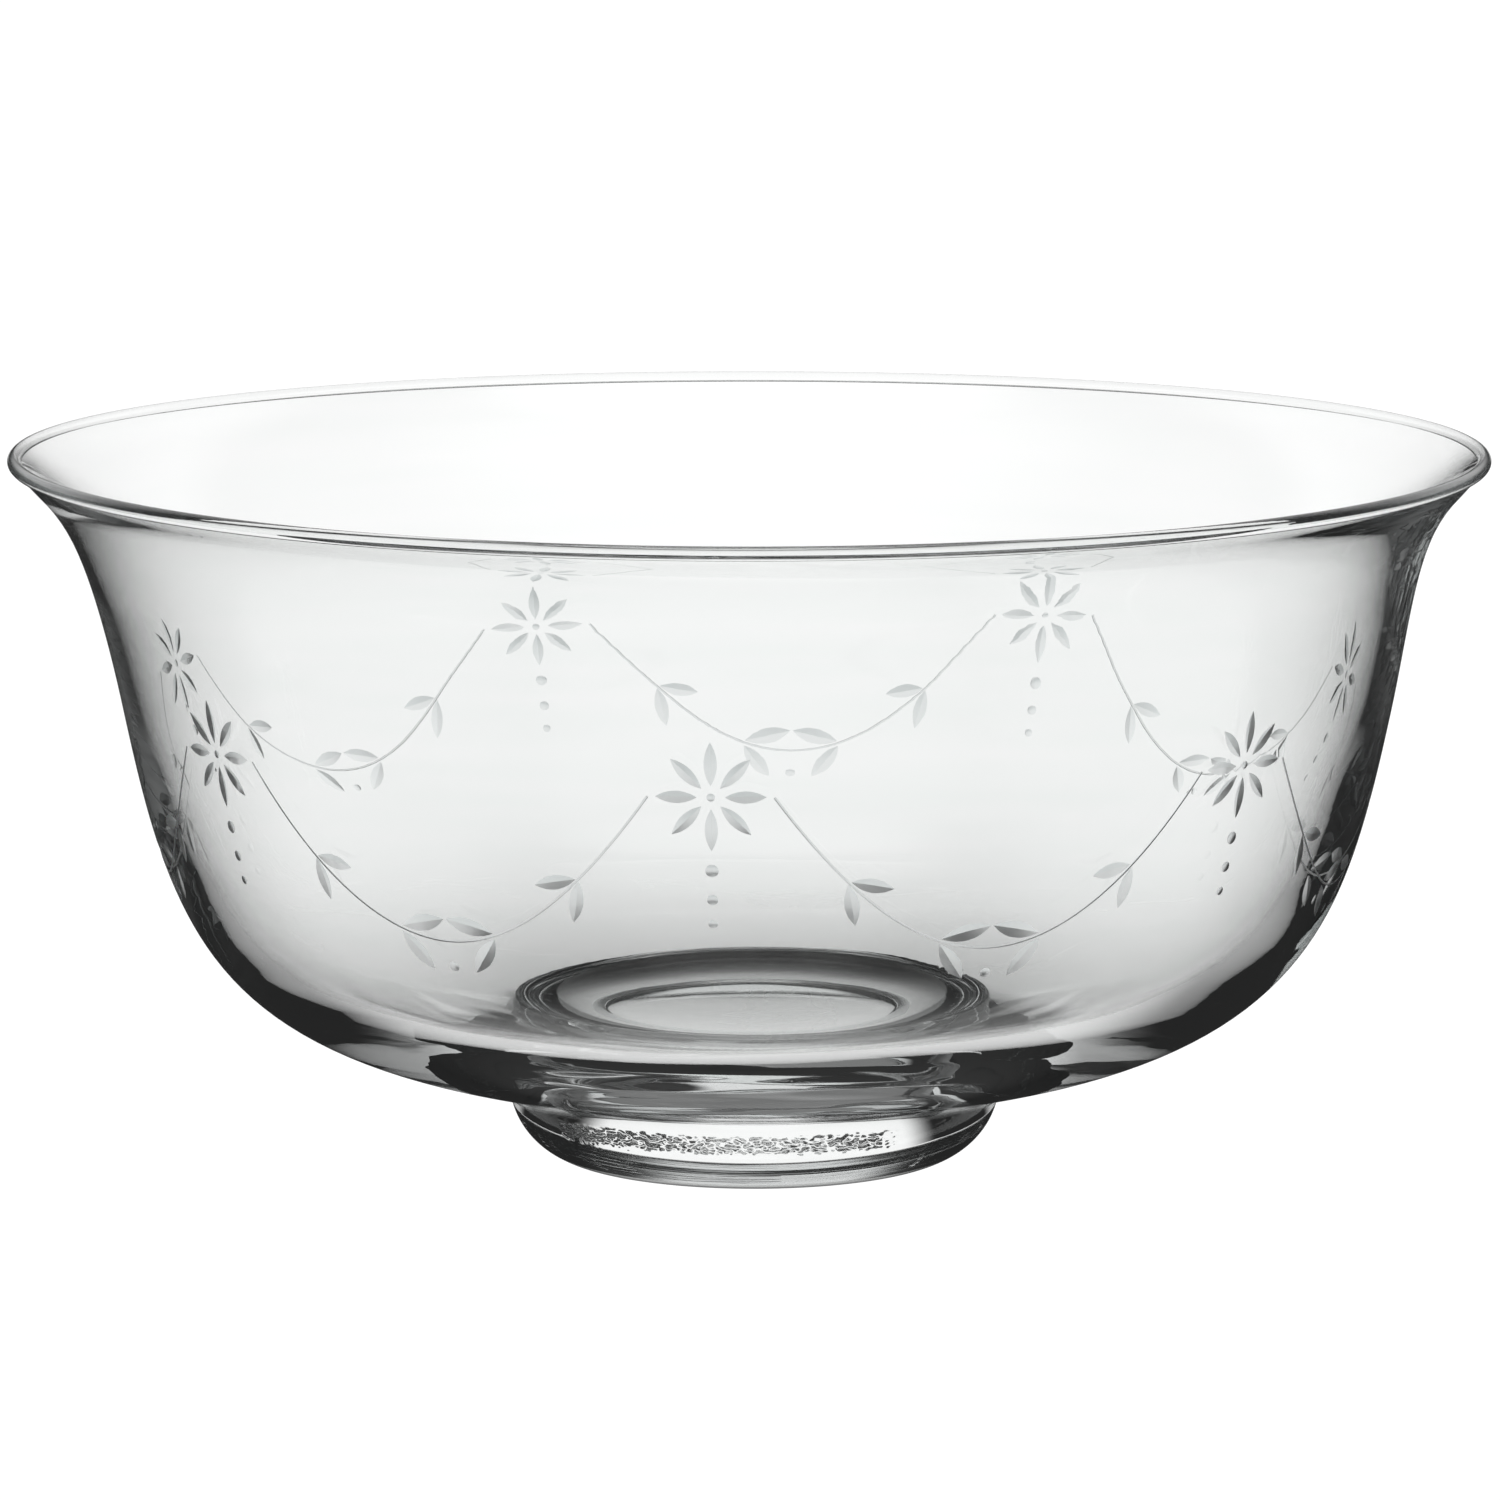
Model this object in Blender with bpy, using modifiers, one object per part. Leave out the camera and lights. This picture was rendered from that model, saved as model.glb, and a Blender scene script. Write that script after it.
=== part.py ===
"""A footed salad bowl of clear glass: a blown bowl with a flared rim, set hot on a low foot.

Metres, +Z up. The origin is the centre of the ring that the foot stands on: the table is z = 0.
Both pieces are turned about Z: each is a profile of (radius, height) points with a Screw modifier.
"""

import math

import bpy

# Bowl, from its rim down
RIM_DIAMETER = 0.255
OVERALL_HEIGHT = 0.1236
LIP_THICKNESS = 0.0024
FLARE_DEPTH = 0.0381
FLARE_REACH = 0.0169
FLARE_ANGLE = math.radians(39)
WAIST_LEAN = math.radians(11.5)
WALL_AT_WAIST = 0.0029
WALL_AT_SHOULDER = 0.006
FLOOR_THICKNESS = 0.0114

# Fullness of the curves, as a share of the span that each one crosses
BELLY_FULLNESS = 0.87
SHOULDER_FULLNESS = 0.69
WAIST_FULLNESS = 0.59
LIP_FULLNESS = 0.31

# Foot
FOOT_HEIGHT = 0.0123
FOOT_DIAMETER = 0.0852
FOOT_SHOULDER = 0.0018
STANDING_DIAMETER = 0.0576
STANDING_WIDTH = 0.0022
RECESS_DEPTH = 0.0015

# The two pieces are fused in the real bowl. As solids they keep this gap.
JOINT_GAP = 0.0003

# Fineness of the turned shapes
TURN_STEPS = 80
BELLY_POINTS = 15
FLARE_POINTS = 8
LIP_POINTS = 5
FOOT_TOP_POINTS = 6
FOOT_ROUND_POINTS = 4
FOOT_SIDE_POINTS = 9
RECESS_POINTS = 4

GLASS_COLOUR = (0.93, 0.95, 0.95, 1.0)
GLASS_ROUGHNESS = 0.02
GLASS_IOR = 1.51

RIM_RADIUS = RIM_DIAMETER / 2
LIP_RADIUS = LIP_THICKNESS / 2
FOOT_RADIUS = FOOT_DIAMETER / 2
STANDING_RADIUS = STANDING_DIAMETER / 2
BOWL_HEIGHT = OVERALL_HEIGHT - FOOT_HEIGHT


def clear_scene():
    for item in list(bpy.data.objects):
        bpy.data.objects.remove(item, do_unlink=True)


def new_collection(name):
    collection = bpy.data.collections.new(name)
    bpy.context.scene.collection.children.link(collection)
    return collection


def shares(count):
    """Numbers from 0 to 1, evenly spaced."""
    return [i / (count - 1) for i in range(count)]


def between(start, end, share):
    return start + (end - start) * share


def curve_point(start, pull_start, pull_end, end, share):
    """A point of a cubic curve that leaves start towards pull_start and reaches end from pull_end."""
    rest = 1 - share
    weights = (rest**3, 3 * rest**2 * share, 3 * rest * share**2, share**3)
    points = (start, pull_start, pull_end, end)
    return tuple(sum(w * p[axis] for w, p in zip(weights, points)) for axis in (0, 1))


def arc_points(centre, width, height, first, last, count):
    """Points of an ellipse's arc between two angles, both ends included."""
    angles = [between(first, last, share) for share in shares(count)]
    return [(centre[0] + width * math.cos(a), centre[1] + height * math.sin(a)) for a in angles]


def lip_centre():
    return (RIM_RADIUS - LIP_RADIUS, BOWL_HEIGHT - LIP_RADIUS)


def outer_wall():
    """The bowl's outside from the centre of its underside up to the lip, in the bowl's own heights."""
    waist = (RIM_RADIUS - FLARE_REACH, BOWL_HEIGHT - FLARE_DEPTH)
    up_waist = (math.sin(WAIST_LEAN), math.cos(WAIST_LEAN))
    shoulder_pull = SHOULDER_FULLNESS * waist[1]
    belly_pulls = (
        (BELLY_FULLNESS * waist[0], 0.0),
        (waist[0] - up_waist[0] * shoulder_pull, waist[1] - up_waist[1] * shoulder_pull),
    )
    belly = [curve_point((0.0, 0.0), *belly_pulls, waist, s) for s in shares(BELLY_POINTS)]

    centre = lip_centre()
    along_lip = (math.cos(FLARE_ANGLE), math.sin(FLARE_ANGLE))
    lip_edge = (centre[0] + along_lip[1] * LIP_RADIUS, centre[1] - along_lip[0] * LIP_RADIUS)
    span = math.dist(waist, lip_edge)
    waist_pull = WAIST_FULLNESS * span
    lip_pull = LIP_FULLNESS * span
    flare_pulls = (
        (waist[0] + up_waist[0] * waist_pull, waist[1] + up_waist[1] * waist_pull),
        (lip_edge[0] - along_lip[0] * lip_pull, lip_edge[1] - along_lip[1] * lip_pull),
    )
    flare = [curve_point(waist, *flare_pulls, lip_edge, s) for s in shares(FLARE_POINTS)]
    return belly + flare[1:]


def wall_thickness(index):
    """Glass at a point of the outside: thick in the floor, thinner up the wall to the lip."""
    waist_index = BELLY_POINTS - 1
    shoulder_index = waist_index / 2
    if index <= shoulder_index:
        return between(FLOOR_THICKNESS, WALL_AT_SHOULDER, (index / shoulder_index) ** 2)
    if index <= waist_index:
        share = (index - shoulder_index) / (waist_index - shoulder_index)
        return between(WALL_AT_SHOULDER, WALL_AT_WAIST, share)
    return between(WALL_AT_WAIST, LIP_THICKNESS, (index - waist_index) / (FLARE_POINTS - 1))


def inner_wall(outside):
    """The inside: each outside point moved square to the wall by the glass there."""
    inside = []
    last = len(outside) - 1
    for index, (radius, height) in enumerate(outside):
        before = outside[max(index - 1, 0)]
        after = outside[min(index + 1, last)]
        along = (after[0] - before[0], after[1] - before[1])
        if index == 0:
            along = (1.0, 0.0)
        if index == last:
            along = (math.cos(FLARE_ANGLE), math.sin(FLARE_ANGLE))
        length = math.hypot(*along)
        thickness = wall_thickness(index)
        inside.append((radius - along[1] / length * thickness, height + along[0] / length * thickness))
    return inside


def bowl_profile():
    """From the middle of the floor up the inside, over the lip and down the outside to the axis."""
    outside = outer_wall()
    inside = inner_wall(outside)
    quarter = math.pi / 2
    lip = arc_points(
        lip_centre(), LIP_RADIUS, LIP_RADIUS, FLARE_ANGLE + quarter, FLARE_ANGLE - quarter, LIP_POINTS
    )
    return inside[:-1] + lip + outside[-2::-1]


def underside_height(radius):
    """Height of the bowl's underside above the table, at a distance from the axis."""
    outside = outer_wall()
    for low, high in zip(outside, outside[1:]):
        if low[0] <= radius <= high[0]:
            return FOOT_HEIGHT + between(low[1], high[1], (radius - low[0]) / (high[0] - low[0]))
    raise ValueError("the foot is wider than the bowl")


def foot_profile():
    """From the axis out under the bowl, down the foot's round side to the ring, and in under the recess."""
    joint_radius = FOOT_RADIUS - FOOT_SHOULDER
    top = [
        (joint_radius * s, underside_height(joint_radius * s) - JOINT_GAP) for s in shares(FOOT_TOP_POINTS)
    ]
    edge_height = top[-1][1] - FOOT_SHOULDER
    shoulder = arc_points(
        (joint_radius, edge_height), FOOT_SHOULDER, FOOT_SHOULDER, math.pi / 2, 0.0, FOOT_ROUND_POINTS
    )
    side = arc_points(
        (STANDING_RADIUS, edge_height),
        FOOT_RADIUS - STANDING_RADIUS,
        edge_height,
        0.0,
        -math.pi / 2,
        FOOT_SIDE_POINTS,
    )
    recess_radius = STANDING_RADIUS - STANDING_WIDTH
    recess = arc_points((0.0, 0.0), recess_radius, RECESS_DEPTH, 0.0, math.pi / 2, RECESS_POINTS)
    return top + shoulder[1:] + side[1:] + recess


def glass(name):
    material = bpy.data.materials.new(name)
    material.use_nodes = True
    shader = material.node_tree.nodes["Principled BSDF"]
    shader.inputs["Base Color"].default_value = GLASS_COLOUR
    shader.inputs["Roughness"].default_value = GLASS_ROUGHNESS
    shader.inputs["Metallic"].default_value = 0.0
    shader.inputs["IOR"].default_value = GLASS_IOR
    shader.inputs["Transmission Weight"].default_value = 1.0
    return material


def turned_piece(name, profile, material, collection):
    """A closed solid: the profile runs from the axis to the axis and is turned once round Z."""
    points = [(radius, 0.0, height) for radius, height in profile]
    points[0] = (0.0, 0.0, points[0][2])
    points[-1] = (0.0, 0.0, points[-1][2])
    mesh = bpy.data.meshes.new(name)
    mesh.from_pydata(points, [(i, i + 1) for i in range(len(points) - 1)], [])
    mesh.materials.append(material)
    piece = bpy.data.objects.new(name, mesh)
    collection.objects.link(piece)
    turn = piece.modifiers.new("turn", "SCREW")
    turn.axis = "Z"
    turn.angle = math.tau
    turn.steps = TURN_STEPS
    turn.render_steps = TURN_STEPS
    turn.use_merge_vertices = True
    turn.merge_threshold = 0.00001
    turn.use_smooth_shade = True
    return piece


def build():
    clear_scene()
    collection = new_collection("salad_bowl")
    standing_centre = bpy.data.objects.new("standing_centre", None)
    collection.objects.link(standing_centre)

    foot = turned_piece("foot", foot_profile(), glass("foot_glass"), collection)
    foot.parent = standing_centre

    bowl = turned_piece("bowl", bowl_profile(), glass("bowl_glass"), collection)
    bowl.parent = standing_centre
    bowl.location = (0.0, 0.0, FOOT_HEIGHT)


build()
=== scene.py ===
# %% [markdown]
# A footed salad bowl of clear blown glass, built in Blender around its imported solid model.
# The real bowl is two pieces of glass: a blown bowl with a flared rim, and a low foot that was
# pressed on while both were hot. A shallow wheel-cut ornament runs round the outside.
# Everything here is in metres, in the frame of the solid model, with +Z up and the table at z = 0.

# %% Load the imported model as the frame
import math
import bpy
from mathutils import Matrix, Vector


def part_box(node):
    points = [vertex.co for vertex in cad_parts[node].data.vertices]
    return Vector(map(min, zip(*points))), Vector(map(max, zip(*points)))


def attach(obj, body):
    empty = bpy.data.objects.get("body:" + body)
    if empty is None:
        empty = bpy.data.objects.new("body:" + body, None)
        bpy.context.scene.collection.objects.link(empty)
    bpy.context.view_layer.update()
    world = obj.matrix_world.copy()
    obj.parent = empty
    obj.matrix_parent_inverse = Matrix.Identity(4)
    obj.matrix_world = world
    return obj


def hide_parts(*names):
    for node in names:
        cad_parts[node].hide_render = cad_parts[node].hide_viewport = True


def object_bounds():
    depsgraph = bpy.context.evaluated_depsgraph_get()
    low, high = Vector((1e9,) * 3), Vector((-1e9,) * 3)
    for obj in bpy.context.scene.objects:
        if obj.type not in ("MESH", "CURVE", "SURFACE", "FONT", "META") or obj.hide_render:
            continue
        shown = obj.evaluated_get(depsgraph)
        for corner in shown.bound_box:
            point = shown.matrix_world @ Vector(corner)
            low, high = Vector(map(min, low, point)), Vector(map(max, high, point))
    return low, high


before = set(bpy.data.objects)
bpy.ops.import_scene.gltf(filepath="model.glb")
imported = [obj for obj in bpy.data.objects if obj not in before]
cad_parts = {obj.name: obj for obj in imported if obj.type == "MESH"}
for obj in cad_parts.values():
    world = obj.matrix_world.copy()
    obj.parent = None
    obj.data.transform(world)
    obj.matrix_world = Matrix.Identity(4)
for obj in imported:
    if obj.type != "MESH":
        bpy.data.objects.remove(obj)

from types import SimpleNamespace

import bpy
import numpy as np
from mathutils import Vector, noise

MM = 0.001
cad_low, cad_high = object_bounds()
print("solid model", [round(v / MM, 1) for v in cad_low], [round(v / MM, 1) for v in cad_high], "mm")

# %% [markdown]
# The bowl's outside is one long S: a belly that rises from the foot, a waist, and a flare that
# runs out to the rim. Two cubic curves give it, joined at the waist with one direction, so the
# skin has no kink there. The rim, the height and the foot come from the solid model's boxes.

# %% The outside of the bowl as a curve
RIM_RADIUS = (cad_high[0] - cad_low[0]) / 2
RIM_HEIGHT = cad_high[2]
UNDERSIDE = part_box("bowl")[0].z
LIP_RADIUS = 1.2 * MM
WAIST_RADIUS = RIM_RADIUS - 16.9 * MM
WAIST_HEIGHT = RIM_HEIGHT - 38.1 * MM
WAIST_LEAN = math.radians(11.5)
FLARE_ANGLE = math.radians(39)
BELLY_FULLNESS = 0.87
SHOULDER_FULLNESS = 0.69
WAIST_FULLNESS = 0.59
LIP_FULLNESS = 0.31
CURVE_POINTS = 1500


def cubic(start, pull_start, pull_end, end):
    """Points of a cubic curve that leaves start towards pull_start and reaches end from pull_end."""
    share = np.linspace(0.0, 1.0, CURVE_POINTS)[:, None]
    rest = 1.0 - share
    weights = (rest**3, 3 * rest**2 * share, 3 * rest * share**2, share**3)
    return sum(w * np.asarray(p) for w, p in zip(weights, (start, pull_start, pull_end, end)))


waist = np.array((WAIST_RADIUS, WAIST_HEIGHT))
up_waist = np.array((math.sin(WAIST_LEAN), math.cos(WAIST_LEAN)))
along_lip = np.array((math.cos(FLARE_ANGLE), math.sin(FLARE_ANGLE)))
lip_centre = np.array((RIM_RADIUS - LIP_RADIUS, RIM_HEIGHT - LIP_RADIUS))
lip_edge = lip_centre + LIP_RADIUS * np.array((along_lip[1], -along_lip[0]))
belly_rise = WAIST_HEIGHT - UNDERSIDE
flare_span = np.linalg.norm(lip_edge - waist)
belly = cubic(
    (0.0, UNDERSIDE),
    (BELLY_FULLNESS * WAIST_RADIUS, UNDERSIDE),
    waist - up_waist * SHOULDER_FULLNESS * belly_rise,
    waist,
)
flare = cubic(
    waist,
    waist + up_waist * WAIST_FULLNESS * flare_span,
    lip_edge - along_lip * LIP_FULLNESS * flare_span,
    lip_edge,
)
outside = np.vstack([belly, flare[1:]])
steps = np.linalg.norm(np.diff(outside, axis=0), axis=1)
run = np.concatenate([[0.0], np.cumsum(steps)])
BELLY_RUN = run[CURVE_POINTS - 1]
FULL_RUN = run[-1]
print(f"outside curve {FULL_RUN / MM:.1f} mm long, {BELLY_RUN / MM:.1f} mm of it belly")

# %% [markdown]
# Blown glass is thickest where it was gathered, in the floor, and thins towards the lip. The
# inside is the outside moved square to the skin by the glass there. The thickness is eased over a
# few millimetres, because a sudden change would show as a hard line through clear glass. Each stop
# is a length up the outside from the axis and the glass there, in millimetres.

# %% Glass thickness along the curve
GLASS_STOPS = (
    (0, 11.4), (24, 11.0), (48, 9.8), (72, 7.8), (90, 6.2),
    (115, 5.0), (145, 3.0), (180, 2.2), (188, 1.9), (193, 1.7),
)
TABLE_POINTS = 3000
EASE_RUN = 4.0 * MM
EASE_TAILS = 3

table_run = np.linspace(0, FULL_RUN, TABLE_POINTS)
table_radius = np.interp(table_run, run, outside[:, 0])
table_height = np.interp(table_run, run, outside[:, 1])
stop_run, stop_glass = np.array(GLASS_STOPS).T * MM
table_glass = np.interp(table_run, stop_run, stop_glass)
ease_points = int(EASE_RUN / table_run[1])
tail = EASE_TAILS * ease_points
bell = np.exp(-0.5 * (np.arange(-tail, tail + 1) / ease_points) ** 2)
bell /= bell.sum()
table_glass = np.convolve(np.pad(table_glass, tail, mode="edge"), bell, mode="valid")
table_slope = np.stack([np.gradient(table_radius), np.gradient(table_height)], axis=1)
table_slope /= np.linalg.norm(table_slope, axis=1)[:, None]
table_slope[0] = (1.0, 0.0)


def skin(at_run):
    """Radius, height, outward direction (radial, up) and glass thickness at a length along the outside."""
    tables = (table_radius, table_height, table_slope[:, 1], -table_slope[:, 0], table_glass)
    return [np.interp(at_run, table_run, table) for table in tables]


print("glass", [round(float(skin(share * FULL_RUN)[4]) / MM, 1) for share in (0, 0.25, 0.5, 0.75, 1)], "mm")

# %% [markdown]
# Hand work leaves the shape a little uneven: the rim leans a millimetre to one side, and its two
# sides stand a little higher than its front and back. Blowing leaves slow waves too. Smooth
# formulas and Perlin noise give these, so each run makes the same bowl.

# %% Unevenness of the hand-blown skin
RIM_LEAN = -1.4 * MM
RIM_LEAN_START = 80 * MM
BELLY_LEAN = 0.5 * MM
BELLY_LEAN_RISE = (16 * MM, 50 * MM)
RIM_SADDLE = 0.4 * MM
SEED_STEPS = (1.0, 2.7, 5.1)


def eased(value, low, high):
    """0 below low, 1 above high, and a smooth rise between."""
    share = np.clip((value - low) / (high - low), 0.0, 1.0)
    return share * share * (3.0 - 2.0 * share)


def uneven(points):
    """Moves points of the bowl sideways and up as the finished bowl is out of true."""
    height = points[:, 2]
    rise = eased(height, RIM_LEAN_START, RIM_HEIGHT)
    angle = np.arctan2(points[:, 1], points[:, 0])
    moved = points.copy()
    moved[:, 0] += BELLY_LEAN * eased(height, *BELLY_LEAN_RISE) + RIM_LEAN * rise
    moved[:, 2] += RIM_SADDLE * np.cos(2 * angle) * rise
    return moved


def waves(points, spacing, stretch, seed):
    """Perlin noise at each point, about -1 to 1, drawn out sideways by the stretch."""
    scale = Vector((1 / (spacing * stretch), 1 / (spacing * stretch), 1 / spacing))
    shift = Vector([seed * step for step in SEED_STEPS])
    return np.array([noise.noise(Vector(point) * scale + shift) for point in points])


print("rim leans", RIM_LEAN / MM, "mm and is", RIM_SADDLE / MM, "mm out of flat")

# %% [markdown]
# Each glass piece is a stack of rings that closes at a pole on the axis at both ends. Building the
# rings with numpy, rather than with a Screw modifier, lets every point be moved a little and lets
# each band of faces take its own finish.

# %% Rings to a closed skin
TURN_STEPS = 320
bowl_angles = np.linspace(0, math.tau, TURN_STEPS, endpoint=False)


def ring(radius, height, angles):
    """One ring of points. Radius and height are single values or one value for each angle."""
    radius = np.broadcast_to(radius, angles.shape)
    height = np.broadcast_to(height, angles.shape)
    return np.stack([radius * np.cos(angles), radius * np.sin(angles), height], axis=1)


def put(name, data):
    """Puts a mesh or a camera into the scene as an object."""
    item = bpy.data.objects.new(name, data)
    bpy.context.scene.collection.objects.link(item)
    return item


def ring_skin(name, rings, slots, materials):
    """Joins rings into a mesh object. slots gives the material of each band."""
    points = np.vstack([rings[0][:1]] + rings[1:-1] + [rings[-1][:1]])
    turns = len(rings[1])
    step = np.arange(turns)
    after = (step + 1) % turns
    starts = 1 + turns * np.arange(len(rings) - 2)
    bottom = np.full(turns, len(points) - 1)
    faces = np.stack([np.zeros_like(step), starts[0] + step, starts[0] + after], axis=1).tolist()
    for low, high in zip(starts, starts[1:]):
        faces += np.stack([low + step, high + step, high + after, low + after], axis=1).tolist()
    faces += np.stack([starts[-1] + step, bottom, starts[-1] + after], axis=1).tolist()
    mesh = bpy.data.meshes.new(name)
    mesh.from_pydata(points.tolist(), [], faces)
    for material in materials:
        mesh.materials.append(material)
    face_slots = np.concatenate([np.full(turns, slot) for slot in slots])
    mesh.polygons.foreach_set("material_index", face_slots.astype(np.int32))
    mesh.shade_smooth()
    print(name, len(rings), "rings,", len(faces), "faces")
    return put(name, mesh)


print("bowl rings have", TURN_STEPS, "points")

# %% [markdown]
# One small helper adds any node, in shaders and in Geometry Nodes alike. Sockets that go in pairs,
# such as the two ends of a range, may be named together. Colours are written as sRGB hex values, as
# a colour picker shows them, and turned to the linear values that shaders use.

# %% Helpers for nodes and colours
MATH, RANGE, MIX = "ShaderNodeMath", "ShaderNodeMapRange", "ShaderNodeMix"
FROM, TO = ("From Min", "From Max"), ("To Min", "To Max")
FALL = (1.0, 0.0)
SMOOTH = {"interpolation_type": "SMOOTHSTEP"}
OPERATIONS = ("SUBTRACT", "MULTIPLY", "DIVIDE", "MAXIMUM")
MINUS, TIMES, OVER, LARGER = [{"operation": name} for name in OPERATIONS]


def add(tree, kind, inputs=None, stops=(), **settings):
    """Adds a node with its settings, its links and, on a colour ramp, its stops.

    inputs maps a socket, or a tuple of sockets, to constants, to nodes (their first output) or to outputs.
    """
    node = tree.nodes.new(kind)
    for name, value in settings.items():
        setattr(node, name, value)
    given = []
    for socket, value in (inputs or {}).items():
        given += zip(socket, value) if isinstance(socket, tuple) else [(socket, value)]
    for socket, value in given:
        if isinstance(value, bpy.types.Node):
            value = value.outputs[0]
        if isinstance(value, bpy.types.NodeSocket):
            tree.links.new(value, node.inputs[socket])
        else:
            node.inputs[socket].default_value = value
    for index, (place, colour) in enumerate(stops):
        elements = node.color_ramp.elements
        stop = elements[index] if index < 2 else elements.new(place)
        stop.position = place
        stop.color = colour
    return node


def linear(hex_colour):
    """An sRGB hex colour as linear red, green, blue and alpha."""
    parts = [int(hex_colour[i : i + 2], 16) / 255 for i in (1, 3, 5)]
    return [p / 12.92 if p <= 0.04045 else ((p + 0.055) / 1.055) ** 2.4 for p in parts] + [1.0]


def empty_material(name):
    material = bpy.data.materials.new(name)
    material.use_nodes = True
    material.node_tree.nodes.clear()
    return material, material.node_tree


print("white in linear", linear("#ffffff"))

# %% [markdown]
# Every finish of this bowl is the same colourless soda-lime glass. They differ in roughness and in
# a fine pattern, which gives relief and a faint tint. Light that is guided along the wall passes
# through much glass, so the absorption has to stay very low, or the rim would turn black.

# %% Soda-lime glass
GLASS_IOR = 1.51
ABSORPTION_COLOUR = "#f5f6f6"
ABSORPTION_DENSITY = 6.0


def absorb(tree):
    inside = {"Color": linear(ABSORPTION_COLOUR), "Density": ABSORPTION_DENSITY}
    return add(tree, "ShaderNodeVolumeAbsorption", inside)


def lay_glass(tree, pattern, strength, depth, roughness, dull, pale):
    """Glass with this pattern as its relief, and tinted by it from dull to pale."""
    relief = add(tree, "ShaderNodeBump", {"Height": pattern, "Strength": strength, "Distance": depth})
    tints = ((0.0, linear(dull)), (1.0, linear(pale)))
    surface = {
        "Base Color": add(tree, "ShaderNodeValToRGB", {"Fac": pattern}, stops=tints),
        "Roughness": roughness,
        "IOR": GLASS_IOR,
        "Transmission Weight": 1.0,
        "Normal": relief,
    }
    shader = add(tree, "ShaderNodeBsdfPrincipled", surface)
    add(tree, "ShaderNodeOutputMaterial", {"Surface": shader, "Volume": absorb(tree)})


print("glass index", GLASS_IOR)

# %% [markdown]
# Blown and fire-polished glass has no roughness at all. Fine cords of slightly different glass run
# round it, drawn out by the blowing, and bend the light a little. Noise that is stretched round the
# bowl gives them.

# %% Clear blown glass
CORD_SPACING = 3.5 * MM
CORD_STRETCH = 14
CORD_DEPTH = 0.008 * MM


def clear_glass(name):
    material, tree = empty_material(name)
    place = add(tree, "ShaderNodeTexCoord").outputs["Object"]
    drawn = 1 / (CORD_SPACING * CORD_STRETCH)
    place = add(tree, "ShaderNodeMapping", {"Vector": place, "Scale": (drawn, drawn, 1 / CORD_SPACING)})
    cords = {"Vector": place, "Scale": 1.0, "Detail": 3.0, "Roughness": 0.45}
    cords = add(tree, "ShaderNodeTexNoise", cords)
    lay_glass(tree, cords, strength=0.5, depth=CORD_DEPTH, roughness=0.0, dull="#fafcfb", pale="#ffffff")
    return material


bowl_glass = clear_glass("blown_soda_lime_glass")
foot_glass = clear_glass("pressed_soda_lime_glass")
print("cords", CORD_SPACING / MM, "mm apart")

# %% [markdown]
# A wheel-cut facet is not polished again, so it stays grey: the stone leaves a fine grit that
# scatters what passes through. The standing ring under the foot is ground in the same way.

# %% Wheel-cut and ground glass
GRIT_SPACING = 0.25 * MM
GRIT_DEPTH = 0.01 * MM
GROUND_ROUGHNESS = 0.3


def ground_glass(name, dull, pale):
    material, tree = empty_material(name)
    place = add(tree, "ShaderNodeTexCoord").outputs["Object"]
    grit = add(tree, "ShaderNodeTexNoise", {"Vector": place, "Scale": 1 / GRIT_SPACING, "Detail": 2.0})
    lay_glass(tree, grit, strength=0.6, depth=GRIT_DEPTH, roughness=GROUND_ROUGHNESS, dull=dull, pale=pale)
    return material


cut_glass = ground_glass("wheel_cut_glass", "#f4f6f6", "#ffffff")
ring_glass = ground_glass("ground_standing_ring", "#dfe4e4", "#f6f8f8")
print("grit", GRIT_SPACING / MM, "mm apart")

# %% [markdown]
# Where the foot was pressed on hot, the two glasses are one and light crosses without bending. The
# two skins still meet there, a hair apart, so both get a see-through finish on that face, with the
# same absorption inside.

# %% The fused face between bowl and foot


def fused_joint(name):
    material, tree = empty_material(name)
    shader = add(tree, "ShaderNodeBsdfTransparent", {"Color": linear("#ffffff")})
    add(tree, "ShaderNodeOutputMaterial", {"Surface": shader, "Volume": absorb(tree)})
    return material


joint_glass = fused_joint("fused_joint")
print("fused joint is clear")

# %% [markdown]
# The bowl's skin starts in the middle of the floor and runs up the inside. Here the blowing shows:
# one side of the wall is thicker, slow waves cross the floor and belly, and low in the front finer
# streaks run round. Each is a change of the glass thickness. The stops give a length up the wall and
# the depth there, both in millimetres.

# %% The inside of the bowl
WALL_ROWS = 90
INSIDE_END = 1.1 * MM
THICK_SIDE = 0.7 * MM
THICK_RISE = (60 * MM, 100 * MM)
THICK_FADE = 165 * MM
WAVE_SPACING = 22 * MM
WAVE_STRETCH = 1.3
WAVE_SEED = 3.0
WAVE_STOPS = ((0, 0.02), (40, 0.04), (90, 0.03), (130, 0.02), (180, 0.0))
STREAK_SPACING = 3.0 * MM
STREAK_TURNS = 1.6
STREAK_SEED = 8.0
STREAK_STOPS = ((0, 0.01), (30, 0.04), (45, 0.12), (85, 0.12), (105, 0.01), (180, 0.0))

cosine, sine = np.cos(bowl_angles), np.sin(bowl_angles)
front_side = (1 - sine) / 2


def depth_at(at_run, stops):
    return np.interp(at_run / MM, *zip(*stops))


def sunk_ring(at_run, depth):
    """A ring this deep below the bowl's outside, still true."""
    radius, height, out_radial, out_up, _ = skin(at_run)
    return ring(radius - out_radial * depth, height - out_up * depth, bowl_angles)


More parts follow.
